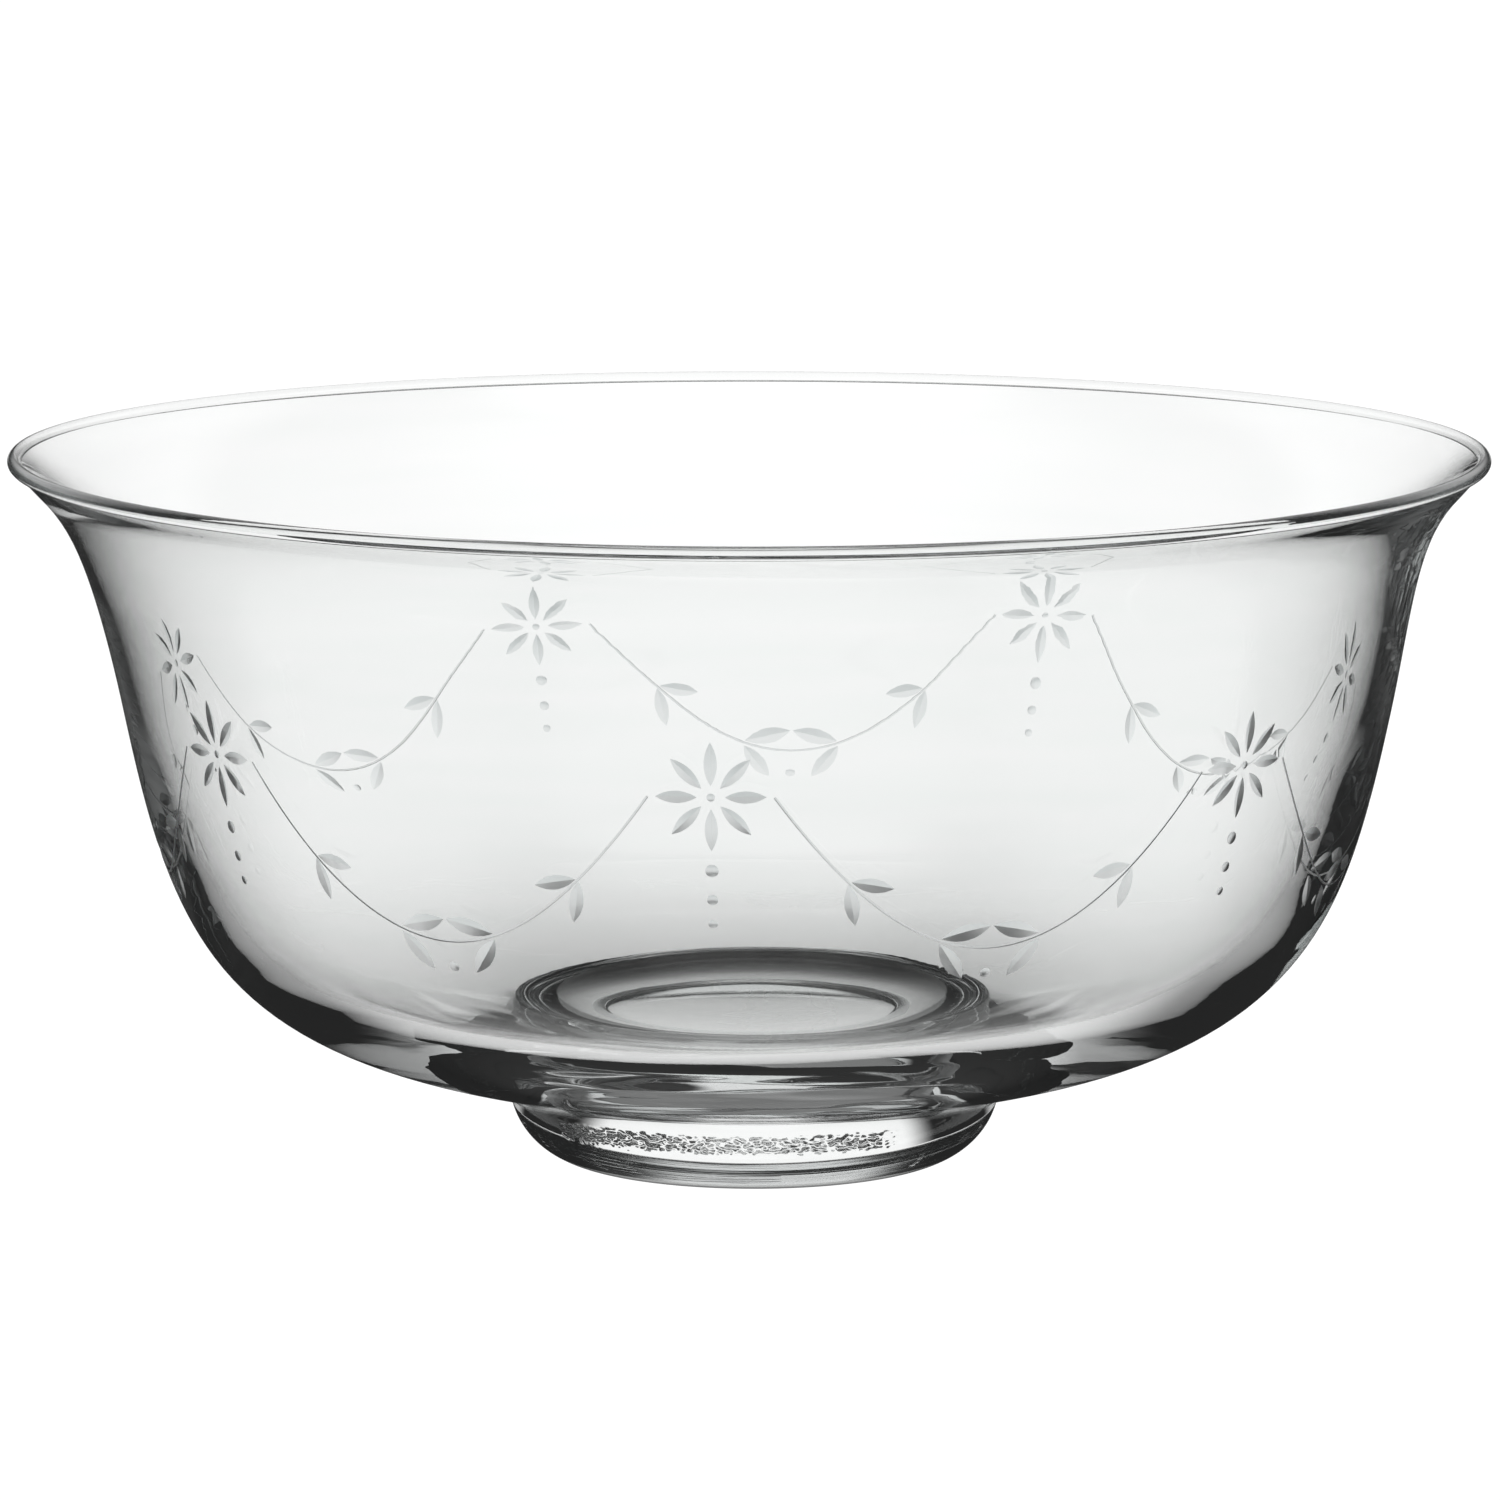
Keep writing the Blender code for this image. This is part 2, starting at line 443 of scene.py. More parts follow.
inside_rings = []
for at_run in np.linspace(0, FULL_RUN - INSIDE_END, WALL_ROWS):
    thicker = THICK_SIDE * eased(at_run, *THICK_RISE) * (1 - eased(at_run, THICK_FADE, FULL_RUN))
    *_, thickness = skin(at_run)
    depth = thickness + thicker * cosine
    spots = sunk_ring(at_run, depth)
    slow = waves(spots, WAVE_SPACING, WAVE_STRETCH, WAVE_SEED) * depth_at(at_run, WAVE_STOPS)
    level = np.full(TURN_STEPS, at_run / STREAK_SPACING)
    streak_spots = np.stack([STREAK_TURNS * cosine, STREAK_TURNS * sine, level], axis=1)
    streaks = waves(streak_spots, 1.0, 1.0, STREAK_SEED) * depth_at(at_run, STREAK_STOPS) * front_side
    inside_rings.append(uneven(sunk_ring(at_run, depth + (slow + streaks) * MM)))
print("inside", len(inside_rings), "rings")

# %% [markdown]
# The lip is a round bead, melted smooth and a little thicker than the wall below it, so the bead
# ends in a fine crease on each side that draws a line round the rim. Down the outside, the wall is
# drawn in by a third of a millimetre just below the bead.

# %% The lip and the outside of the bowl
LIP_ROWS = 36
BEAD_INSIDE = math.radians(140)
BEAD_OUTSIDE = math.radians(-132)
LIP_STEP = 0.32 * MM
STEP_START = 5.0 * MM
STEP_END = 1.0 * MM
OUTSIDE_END = 0.9 * MM
FOOT_SHOULDER = 0.7 * MM
JOINT_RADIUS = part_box("foot")[1].x - FOOT_SHOULDER

bead_rings = []
for turn in np.linspace(FLARE_ANGLE + BEAD_INSIDE, FLARE_ANGLE + BEAD_OUTSIDE, LIP_ROWS):
    spot = lip_centre + LIP_RADIUS * np.array((math.cos(turn), math.sin(turn)))
    bead_rings.append(uneven(ring(spot[0], spot[1], bowl_angles)))

joint_run = float(np.interp(JOINT_RADIUS, table_radius, table_run))
outside_runs = np.linspace(FULL_RUN - OUTSIDE_END, 0, WALL_ROWS)
outside_runs = np.sort(np.append(outside_runs, joint_run))[::-1]
outside_rings = []
for at_run in outside_runs:
    step_in = LIP_STEP * eased(at_run, FULL_RUN - STEP_START, FULL_RUN - STEP_END)
    outside_rings.append(uneven(sunk_ring(at_run, step_in)))

bowl_slots = [0] * (len(inside_rings) + LIP_ROWS)
bowl_slots += [1 if at_run <= joint_run else 0 for at_run in outside_runs[:-1]]
bowl_rings = inside_rings + bead_rings + outside_rings
bowl = ring_skin("bowl_skin", bowl_rings, bowl_slots, [bowl_glass, joint_glass, cut_glass])

# %% [markdown]
# A wheel-cut ornament runs round the outside of the bowl: thin swags hang between eight-petalled
# stars, with olive-shaped cuts along them and drops of round cuts. A turning stone grinds each cut
# on the real bowl. Here small cutters do the same, and this step lays the lines that they follow,
# as points that also know which way is out.

# %% Where the cuts go
SWAGS = 7
FIRST_STAR = math.radians(-94)
STAR_HEIGHT = 80 * MM
STAR_CLEARANCE = 10.5 * MM
SWAG_LOW = 53 * MM
SWAG_POINTS = 49
STAR_DOT = 0.6
DROPS = ((67.5 * MM, 0.95), (62.5 * MM, 0.8), (58.3 * MM, 0.65))
LOW_DOT = 0.8
LOW_DOT_DROP = 4.5 * MM


def on_wall(angle, height):
    """A point on the outside of the bowl, and the outward direction there."""
    at_run = np.interp(height, table_height, table_run)
    radius, level, out_radial, out_up, _ = skin(at_run)
    point = np.array([[radius * math.cos(angle), radius * math.sin(angle), level]])
    return uneven(point)[0], (out_radial * math.cos(angle), out_radial * math.sin(angle), out_up)


def marks(name, spots, edges, extra):
    """A mesh object of points and lines. extra gives a value to each point under a name."""
    mesh = bpy.data.meshes.new(name)
    places, outwards = [list(values) for values in zip(*spots)]
    mesh.from_pydata(places, edges, [])
    for label, values in (("outward", outwards), ("centre", places)):
        mesh.attributes.new(label, "FLOAT_VECTOR", "POINT").data.foreach_set("vector", np.ravel(values))
    for label, values in extra.items():
        mesh.attributes.new(label, "FLOAT", "POINT").data.foreach_set("value", values)
    return put(name, mesh)


swag_turn = math.tau / SWAGS
gap = STAR_CLEARANCE / WAIST_RADIUS
line_spots, line_edges, dots = [], [], []
for swag in range(SWAGS):
    start = FIRST_STAR + swag * swag_turn
    dots.append((on_wall(start, STAR_HEIGHT), STAR_DOT, 1.0))
    dots += [(on_wall(start, height), size, 0.0) for height, size in DROPS]
    for index, share in enumerate(np.linspace(0, 1, SWAG_POINTS)):
        angle = start + gap + share * (swag_turn - 2 * gap)
        hang = 1 - (2 * share - 1) ** 2
        if index:
            line_edges.append((len(line_spots) - 1, len(line_spots)))
        line_spots.append(on_wall(angle, STAR_HEIGHT - (STAR_HEIGHT - SWAG_LOW) * hang))
    dots.append((on_wall(start + swag_turn / 2, SWAG_LOW - LOW_DOT_DROP), LOW_DOT, 0.0))
dot_spots, dot_sizes, dot_stars = [list(values) for values in zip(*dots)]
swag_lines = marks("swag_lines", line_spots, line_edges, {})
dot_marks = marks("dot_marks", dot_spots, [], {"size": dot_sizes, "star": dot_stars})
print(SWAGS, "swags,", len(dots), "round cuts")

# %% [markdown]
# An olive cut is what a wheel with a pointed edge leaves: a shallow V that is deepest in the middle
# and runs out at both ends. A round cut is a shallow dish from a ball-shaped wheel. Each cutter is
# the glass that the wheel takes away, and reaches a little above the wall.

# %% The cutters
ABOVE = 0.15 * MM


def cutter(name, points, faces):
    mesh = bpy.data.meshes.new(name)
    mesh.from_pydata(points, [], faces)
    mesh.shade_smooth()
    print(name, len(faces), "faces")
    return put(name, mesh)


def olive_cutter(name, length, depth, spread, segments=14):
    """A V-shaped cutter along X. spread is the half width of the V for each unit of depth."""
    half = length / 2 * math.sqrt(1 + ABOVE / depth)
    along = np.linspace(-half, half, segments + 1)
    keel = -depth * (1 - (2 * along / length) ** 2)
    side = spread * (ABOVE - keel)
    inner = range(1, segments)
    points = [(x, 0.0, z) for x, z in zip(along, keel)]
    points += [(along[i], side[i], ABOVE) for i in inner]
    points += [(along[i], -side[i], ABOVE) for i in inner]
    left = [0] + [segments + i for i in inner] + [segments]
    right = [0] + [2 * segments - 1 + i for i in inner] + [segments]
    faces = []
    for i in range(segments):
        faces.append((i, left[i], left[i + 1], i + 1))
        faces.append((i, i + 1, right[i + 1], right[i]))
        faces.append((left[i], right[i], right[i + 1], left[i + 1]))
    return cutter(name, points, [tuple(dict.fromkeys(face)) for face in faces])


def dish_cutter(name, ball, depth, sides=20, rows=4):
    """A cutter shaped like the lower cap of a ball of this radius, with a flat top."""
    steepest = math.acos((ball - depth - ABOVE) / ball)
    points = [(0.0, 0.0, -depth)]
    for turn in np.linspace(0, steepest, rows + 1)[1:]:
        reach = ball * math.sin(turn)
        level = ball - depth - ball * math.cos(turn)
        for angle in np.linspace(0, math.tau, sides, endpoint=False):
            points.append((reach * math.cos(angle), reach * math.sin(angle), level))
    faces = [(0, 1 + (i + 1) % sides, 1 + i) for i in range(sides)]
    for row in range(rows - 1):
        low, high = 1 + row * sides, 1 + (row + 1) * sides
        for i in range(sides):
            after = (i + 1) % sides
            faces.append((low + i, low + after, high + after, high + i))
    faces.append(tuple(1 + (rows - 1) * sides + i for i in range(sides)))
    return cutter(name, points, faces)


leaf = olive_cutter("leaf_cutter", length=11.0 * MM, depth=0.35 * MM, spread=4.8)
petal = olive_cutter("petal_cutter", length=7.5 * MM, depth=0.3 * MM, spread=3.6)
dish = dish_cutter("dish_cutter", ball=3.0 * MM, depth=0.25 * MM)

# %% [markdown]
# Geometry Nodes lay the cutters, with a tree for each kind of cut. What stands beside the marks is
# first set out flat and then moved to the nearest point of the wall, so that all cuts are equally
# deep on the round wall.

# %% Helpers for the trees
ATTRIBUTE = "GeometryNodeInputNamedAttribute"
TURN = "FunctionNodeAxesToRotation"
STANDING = {"primary_axis": "Z", "secondary_axis": "X"}
VECTOR = {"data_type": "FLOAT_VECTOR"}


def cut_tree(name, sockets):
    """A Geometry Nodes tree with these named inputs, and its group input node's outputs."""
    tree = bpy.data.node_groups.new(name, "GeometryNodeTree")
    tree.interface.new_socket("Geometry", in_out="INPUT", socket_type="NodeSocketGeometry")
    for label, kind in sockets.items():
        tree.interface.new_socket(label, in_out="INPUT", socket_type="NodeSocket" + kind)
    tree.interface.new_socket("Geometry", in_out="OUTPUT", socket_type="NodeSocketGeometry")
    return tree, add(tree, "NodeGroupInput").outputs


def shape_of(tree, item):
    return add(tree, "GeometryNodeObjectInfo", {"Object": item}).outputs["Geometry"]


def settle(tree, spots, wall):
    """Points moved to the nearest places on the wall, and the wall's outward direction there."""
    nearest = add(tree, "GeometryNodeProximity", {0: wall}, target_element="FACES").outputs["Position"]
    spots = add(tree, "GeometryNodeSetPosition", {"Geometry": spots, "Position": nearest})
    normal = add(tree, "GeometryNodeInputNormal")
    return spots, add(tree, "GeometryNodeSampleNearestSurface", {"Mesh": wall, "Value": normal}, **VECTOR)


def close_tree(tree, geometry, finish):
    real = add(tree, "GeometryNodeRealizeInstances", {"Geometry": geometry})
    made = add(tree, "GeometryNodeSetMaterial", {"Geometry": real, "Material": finish})
    add(tree, "NodeGroupOutput", {0: made})
    print(tree.name, "tree has", len(tree.nodes), "nodes")
    return tree


print("cutters stand and point along", *STANDING.values())

# %% [markdown]
# A stem is a shallow groove along each swag, so its cutter is a thin tube whose middle lies just
# outside the wall.

# %% Tree for the stems
STEM_SIDES = 8

tree, into = cut_tree("stems", {"Radius": "Float", "Rise": "Float", "Finish": "Material"})
outward = add(tree, ATTRIBUTE, {"Name": "outward"}, **VECTOR)
lift = add(tree, "ShaderNodeVectorMath", {0: outward, "Scale": into["Rise"]}, operation="SCALE")
line = add(tree, "GeometryNodeMeshToCurve", {"Mesh": into["Geometry"]})
line = add(tree, "GeometryNodeSetPosition", {"Geometry": line, "Offset": lift})
circle = add(tree, "GeometryNodeCurvePrimitiveCircle", {"Resolution": STEM_SIDES, "Radius": into["Radius"]})
tube = add(tree, "GeometryNodeCurveToMesh", {"Curve": line, "Profile Curve": circle, "Fill Caps": True})
stem_tree = close_tree(tree, tube, into["Finish"])

# %% [markdown]
# Leaves stand at even steps along each swag and point to its middle, where they are largest. They
# lean out from the stem by a tilt, and the two ends of the swag stay bare.

# %% Tree for the leaves
BARE_FROM = 0.48

leaf_inputs = {"Wall": "Object", "Leaf": "Object", "Count": "Int", "Tilt": "Float"}
leaf_inputs.update({"Reach": "Float", "Smallest": "Float", "Finish": "Material"})
tree, into = cut_tree("leaves", leaf_inputs)
line = add(tree, "GeometryNodeMeshToCurve", {"Mesh": into["Geometry"]})
share = add(tree, "GeometryNodeSplineParameter").outputs["Factor"]
line = add(tree, "GeometryNodeStoreNamedAttribute", {"Geometry": line, "Name": "share", "Value": share})
spots = add(tree, "GeometryNodeCurveToPoints", {"Curve": line, "Count": into["Count"]}, mode="COUNT")
share = add(tree, ATTRIBUTE, {"Name": "share"}, data_type="FLOAT")
outward = add(tree, ATTRIBUTE, {"Name": "outward"}, **VECTOR)
before = add(tree, MATH, {0: 0.5, 1: share}, **MINUS)
facing = add(tree, MATH, {0: before}, operation="SIGN")
apart = add(tree, MATH, {0: before}, operation="ABSOLUTE")
size = add(tree, RANGE, {"Value": apart, FROM: (0.0, 0.5), TO: (1.0, into["Smallest"])})
not_bare = add(tree, MATH, {0: apart, 1: BARE_FROM}, operation="LESS_THAN")
heading = {0: spots.outputs["Tangent"], "Scale": facing}
heading = add(tree, "ShaderNodeVectorMath", heading, operation="SCALE")
heading = {"Vector": heading, "Axis": outward, "Angle": into["Tilt"]}
heading = add(tree, "ShaderNodeVectorRotate", heading, rotation_type="AXIS_ANGLE")
reach = add(tree, MATH, {0: size, 1: into["Reach"]}, **TIMES)
offset = add(tree, "ShaderNodeVectorMath", {0: heading, "Scale": reach}, operation="SCALE")
spots = add(tree, "GeometryNodeSetPosition", {"Geometry": spots.outputs["Points"], "Offset": offset})
spots, upright = settle(tree, spots, shape_of(tree, into["Wall"]))
turn = add(tree, TURN, {"Primary Axis": upright, "Secondary Axis": heading}, **STANDING)
leaves = {"Points": spots, "Selection": not_bare, "Rotation": turn, "Scale": size}
leaves["Instance"] = shape_of(tree, into["Leaf"])
leaves = add(tree, "GeometryNodeInstanceOnPoints", leaves)
leaf_tree = close_tree(tree, leaves, into["Finish"])

# %% [markdown]
# Each mark gets a round cut, and a mark that is a star gets a ring of petals round it as well. The
# petals point away from the star's middle, which each point remembers.

# %% Tree for the stars and dots
star_inputs = {"Wall": "Object", "Petal": "Object", "Dish": "Object"}
star_inputs.update({"Petals": "Int", "Reach": "Float", "Finish": "Material"})
tree, into = cut_tree("stars", star_inputs)
outward, centre = [add(tree, ATTRIBUTE, {"Name": name}, **VECTOR) for name in ("outward", "centre")]
size, is_star = [add(tree, ATTRIBUTE, {"Name": name}, data_type="FLOAT") for name in ("size", "star")]
flat = add(tree, TURN, {"Primary Axis": outward, "Secondary Axis": (0.0, 0.0, 1.0)}, **STANDING)
dishes = {"Points": into["Geometry"], "Rotation": flat, "Scale": size}
dishes["Instance"] = shape_of(tree, into["Dish"])
dishes = add(tree, "GeometryNodeInstanceOnPoints", dishes)
circle = add(tree, "GeometryNodeMeshCircle", {"Vertices": into["Petals"], "Radius": into["Reach"]})
circles = {"Points": into["Geometry"], "Selection": is_star, "Instance": circle, "Rotation": flat}
circles = add(tree, "GeometryNodeInstanceOnPoints", circles)
circles = add(tree, "GeometryNodeRealizeInstances", {"Geometry": circles})
spots, upright = settle(tree, circles, shape_of(tree, into["Wall"]))
place = add(tree, "GeometryNodeInputPosition")
away = add(tree, "ShaderNodeVectorMath", {0: place, 1: centre}, **MINUS)
turn = add(tree, TURN, {"Primary Axis": upright, "Secondary Axis": away}, **STANDING)
petals = {"Points": spots, "Instance": shape_of(tree, into["Petal"]), "Rotation": turn}
petals = add(tree, "GeometryNodeInstanceOnPoints", petals)
both = add(tree, "GeometryNodeJoinGeometry", {0: dishes})
tree.links.new(petals.outputs[0], both.inputs[0])
star_tree = close_tree(tree, both, into["Finish"])

# %% [markdown]
# The trees run one by one and their cutters are taken out of the bowl in turn, as a cutter works:
# the stems, the leaves on one side, the leaves on the other, and the stars.

# %% Cut the ornament
LEAF_TILT = math.radians(34)
LEAF_STEPS = 6
LEAF_REACH = 5.6 * MM
SMALLEST_LEAF = 0.6
STEM_RADIUS = 0.32 * MM
STEM_RISE = 0.2 * MM
STAR_PETALS = 8
PETAL_REACH = 5.7 * MM
SHARP_EDGE = math.radians(10)


def result_of(item):
    """What an object's modifiers make of it, as a plain mesh."""
    return bpy.data.meshes.new_from_object(item.evaluated_get(bpy.context.evaluated_depsgraph_get()))


def lay_cutters(name, source, tree, values):
    """Runs a tree on an object with these inputs, and gives its result as a plain mesh object."""
    modifier = source.modifiers.new(name, "NODES")
    modifier.node_group = tree
    for item in tree.interface.items_tree:
        if item.in_out == "INPUT" and item.name in values:
            modifier[item.identifier] = values[item.name]
    mesh = result_of(source)
    source.modifiers.remove(modifier)
    print(name, len(mesh.polygons), "faces of cutters")
    return put(name, mesh)


stem_values = {"Radius": STEM_RADIUS, "Rise": STEM_RISE, "Finish": cut_glass}
leaf_values = {"Wall": bowl, "Leaf": leaf, "Count": LEAF_STEPS, "Reach": LEAF_REACH}
leaf_values.update({"Smallest": SMALLEST_LEAF, "Finish": cut_glass})
star_values = {"Wall": bowl, "Petal": petal, "Dish": dish, "Petals": STAR_PETALS}
star_values.update({"Reach": PETAL_REACH, "Finish": cut_glass})
cuts = [
    lay_cutters("stem_cuts", swag_lines, stem_tree, stem_values),
    lay_cutters("upper_leaf_cuts", swag_lines, leaf_tree, {**leaf_values, "Tilt": LEAF_TILT}),
    lay_cutters("lower_leaf_cuts", swag_lines, leaf_tree, {**leaf_values, "Tilt": -LEAF_TILT}),
    lay_cutters("star_cuts", dot_marks, star_tree, star_values),
]
whole_faces = len(bowl.data.polygons)
for cut in cuts:
    grind = bowl.modifiers.new(cut.name, "BOOLEAN")
    grind.operation = "DIFFERENCE"
    grind.solver = "MANIFOLD"
    grind.object = cut
    grind.material_mode = "TRANSFER"
cut_mesh = result_of(bowl)
bowl.modifiers.clear()
bowl.data = cut_mesh
cut_mesh.set_sharp_from_angle(angle=SHARP_EDGE)
for item in cuts + [swag_lines, dot_marks, leaf, petal, dish]:
    bpy.data.objects.remove(item)
print("bowl", whole_faces, "faces, then", len(cut_mesh.polygons))

# %% [markdown]
# The foot's upper edge chilled against the cooler tool on one side and crinkled there, in a band of
# fine wrinkles. The steps round the foot are closer together along that band, so that the wrinkles
# are real shapes. Each wrinkle size is a spacing and a depth.

# %% Wrinkles in the front of the foot
FINE_STEPS = 280
COARSE_STEPS = 200
WRINKLE_MIDDLE = math.radians(-98)
WRINKLE_SPREAD = math.radians(46)
WRINKLE_FULL = 0.7
WRINKLE_LOW = 7.9 * MM
WRINKLE_HIGH = 11.4 * MM
WRINKLE_FADE = 0.9 * MM
WRINKLE_STRETCH = 1.6
WRINKLE_SEED = 11.0
WRINKLES = ((0.6 * MM, 0.6 * MM), (0.35 * MM, 0.2 * MM))

band_start, band_end = WRINKLE_MIDDLE - WRINKLE_SPREAD, WRINKLE_MIDDLE + WRINKLE_SPREAD
fine = np.linspace(band_start, band_end, FINE_STEPS, endpoint=False)
coarse = np.linspace(band_end, band_start + math.tau, COARSE_STEPS, endpoint=False)
foot_angles = np.concatenate([fine, coarse])
off_middle = np.abs((foot_angles - WRINKLE_MIDDLE + math.pi) % math.tau - math.pi)
along_band = 1 - eased(off_middle, WRINKLE_FULL * WRINKLE_SPREAD, WRINKLE_SPREAD)


def crinkled(reach, level):
    """A ring of the foot's side at this radius and height, with its wrinkles."""
    smooth_ring = ring(reach, level, foot_angles)
    crinkle = sum(
        depth * waves(smooth_ring, spacing, WRINKLE_STRETCH, WRINKLE_SEED) for spacing, depth in WRINKLES
    )
    in_band = eased(level, WRINKLE_LOW, WRINKLE_LOW + WRINKLE_FADE)
    in_band = in_band * (1 - eased(level, WRINKLE_HIGH - WRINKLE_FADE, WRINKLE_HIGH)) * along_band
    return ring(reach + crinkle * in_band, level, foot_angles)


print("foot rings have", len(foot_angles), "points")

# %% [markdown]
# The foot is a low pad with a tight round shoulder and a side that curves in to a narrow standing
# ring, which is ground flat. Its top lies against the bowl and its underside is a shallow dome. The
# side has more rows in the height of the wrinkles.

# %% The foot
FOOT_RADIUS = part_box("foot")[1].x
STANDING_RADIUS = 28.8 * MM
STANDING_WIDTH = 2.2 * MM
RECESS_DEPTH = 1.5 * MM
FUSED_GAP = 0.02 * MM
FOOT_TOP_ROWS = 24
SHOULDER_ROWS = 10
WRINKLE_ROWS = 26
WRINKLE_TURN = math.radians(-24)
SIDE_ROWS = 34
RECESS_ROWS = 16

top_rings = []
for at_run in np.linspace(0, joint_run, FOOT_TOP_ROWS):
    radius, height, *_ = skin(at_run)
    top_rings.append(ring(radius, height - FUSED_GAP, foot_angles))

edge_height = float(top_rings[-1][0, 2]) - FOOT_SHOULDER
shoulder_rings = []
for turn in np.linspace(math.pi / 2, 0, SHOULDER_ROWS)[1:]:
    reach = JOINT_RADIUS + FOOT_SHOULDER * math.cos(turn)
    shoulder_rings.append(ring(reach, edge_height + FOOT_SHOULDER * math.sin(turn), foot_angles))

upper_turns = np.linspace(0, WRINKLE_TURN, WRINKLE_ROWS)[1:]
lower_turns = np.linspace(WRINKLE_TURN, -math.pi / 2, SIDE_ROWS)[1:]
side_rings = []
for turn in np.append(upper_turns, lower_turns):
    reach = STANDING_RADIUS + (FOOT_RADIUS - STANDING_RADIUS) * math.cos(turn)
    side_rings.append(crinkled(reach, edge_height * (1 + math.sin(turn))))

recess_radius = STANDING_RADIUS - STANDING_WIDTH
recess_rings = [ring(recess_radius, 0.0, foot_angles)]
for turn in np.linspace(0, math.pi / 2, RECESS_ROWS)[1:]:
    level = RECESS_DEPTH * math.sin(turn)
    recess_rings.append(ring(recess_radius * math.cos(turn), level, foot_angles))

foot_slots = [1] * (len(top_rings) - 1) + [0] * (len(shoulder_rings) + len(side_rings))
foot_slots += [2] + [0] * (len(recess_rings) - 1)
foot_rings = top_rings + shoulder_rings + side_rings + recess_rings
foot = ring_skin("foot_skin", foot_rings, foot_slots, [foot_glass, joint_glass, ring_glass])

# %% [markdown]
# Both skins take the place of their solids. The bowl has no moving parts, so both ride on the one
# body that the frame has.

# %% Hand the pieces to the frame
for piece, node in ((bowl, "bowl"), (foot, "foot")):
    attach(piece, "root")
    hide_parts(node)
    print(piece.name, "stands for", node, len(piece.data.polygons), "faces")

# %% [markdown]
# Clear glass is drawn by what it bends and mirrors. In pictures of glass the background is evenly
# bright and dark cards stand at the sides of the set, so that the edges show as dark lines. Here the
# floor and the world glow by themselves, and the Light Path node tells both what a ray met in the
# glass: how often it was mirrored, how many walls it passed, and whether it crossed the joint into
# the foot. A limit lies halfway between two counts.

# %% What a ray met on its way
WHITE = 1.07
DARK = 0.02
LIT = 0.9
ANY = 0.5
ONE_WALL = 2.5
ONE_TURN = 1.5
FEW_TURNS = 4.5
GUIDED_TURNS = 8.5
CROSSED_TURNS = 9.5
GUIDED_MOST = 14.5
MORE, LESS = "GREATER_THAN", "LESS_THAN"
WALLS, JOINTS, TURNS = "Transmission Depth", "Transparent Depth", "Glossy Depth"
QUESTIONS = {
    "entered": (WALLS, MORE, ANY),
    "two_walls": (WALLS, MORE, ONE_WALL),
    "crossed": (JOINTS, MORE, ANY),
    "turned": (TURNS, MORE, ANY),
    "once": (TURNS, LESS, ONE_TURN),
    "several": (TURNS, MORE, ONE_TURN),
    "few": (TURNS, LESS, FEW_TURNS),
    "many": (TURNS, MORE, GUIDED_TURNS),
    "not_many": (TURNS, LESS, CROSSED_TURNS),
    "not_most": (TURNS, LESS, GUIDED_MOST),
}


def ray_story(tree):
    """Answers to the questions, each 0 or 1, and two more that are made from them.

    A central ray was mirrored a few times, or more often through the foot. A guided ray ran in the wall.
    """
    path = add(tree, "ShaderNodeLightPath").outputs
    ray = SimpleNamespace()
    for name, (count, operation, limit) in QUESTIONS.items():
        setattr(ray, name, add(tree, MATH, {0: path[count], 1: limit}, operation=operation))
    in_foot = add(tree, MATH, {0: ray.not_many, 1: ray.crossed}, **TIMES)
    either = add(tree, MATH, {0: ray.few, 1: in_foot}, **LARGER)
    ray.central = add(tree, MATH, {0: ray.several, 1: either}, **TIMES)
    in_bowl = add(tree, MATH, {0: 1.0, 1: ray.crossed}, **MINUS)
    ray.guided = add(tree, MATH, {0: ray.many, 1: in_bowl}, **TIMES)
    return ray


print(len(QUESTIONS), "questions about a ray")

# %% [markdown]
# The floor is one wide plane, a hair below the foot. Its glow depends on the distance from the
# bowl's axis, on how much of that is sideways, and on whether the place is in front. Stops of
# distance in millimetres and brightness give three glows: for light that passed through, that was
# mirrored, and that was mirrored once and lands beside the bowl. The floor only glows and takes no
# cast shadow, so the first glow holds a painted shadow of the bowl round the foot, and the second a
# painted shade right under the foot.

# %% Floor: the places on it
FLOOR_SIZE = 16.0
FLOOR_DROP = 0.3 * MM
FRONT_EDGE = (0 * MM, -45 * MM)
STOP_REACH = 600
# Painted shadow of the bowl on the floor: the glow is dimmed round the foot and brightens outwards.
PAINTED_SHADOW_STOPS = (
    (0, 0.8), (24, 0.8), (28, 0.65), (32, 0.5), (35, 0.25), (38, 0.1), (41, 0.04), (47, 0.0),
    (56, 0.0), (64, 0.7), (90, 0.82), (120, 0.88), (200, 0.93), (350, 0.97), (600, 1.0),
)
# Painted shade under the foot for mirrored rays: the glow is kept low within the foot's reach.
TURNED_STOPS = ((0, 0.3), (36, 0.3), (42, 0.2), (54, 0.25), (66, LIT))
BESIDE_STOPS = ((0, 0.3), (80, 0.4), (130, 0.6), (200, 0.6), (300, 0.02))

bpy.ops.mesh.primitive_plane_add(size=FLOOR_SIZE, location=(0, 0, -FLOOR_DROP))
floor = bpy.context.object
floor.name = "floor"
material, tree = empty_material("pale_sweep")
ray = ray_story(tree)
spot = add(tree, "ShaderNodeNewGeometry").outputs["Position"]
axes = add(tree, "ShaderNodeSeparateXYZ", {0: spot}).outputs
reach = add(tree, "ShaderNodeVectorMath", {0: spot}, operation="LENGTH").outputs["Value"]
sideways = add(tree, MATH, {0: axes["X"]}, operation="ABSOLUTE")
side_share = add(tree, MATH, {0: sideways, 1: reach}, **OVER)
back_share = add(tree, MATH, {0: axes["Y"], 1: reach}, **OVER)
in_front = add(tree, RANGE, {"Value": axes["Y"], FROM: FRONT_EDGE}, **SMOOTH)
along_stops = add(tree, MATH, {0: reach, 1: STOP_REACH * MM}, **OVER)
glows = []
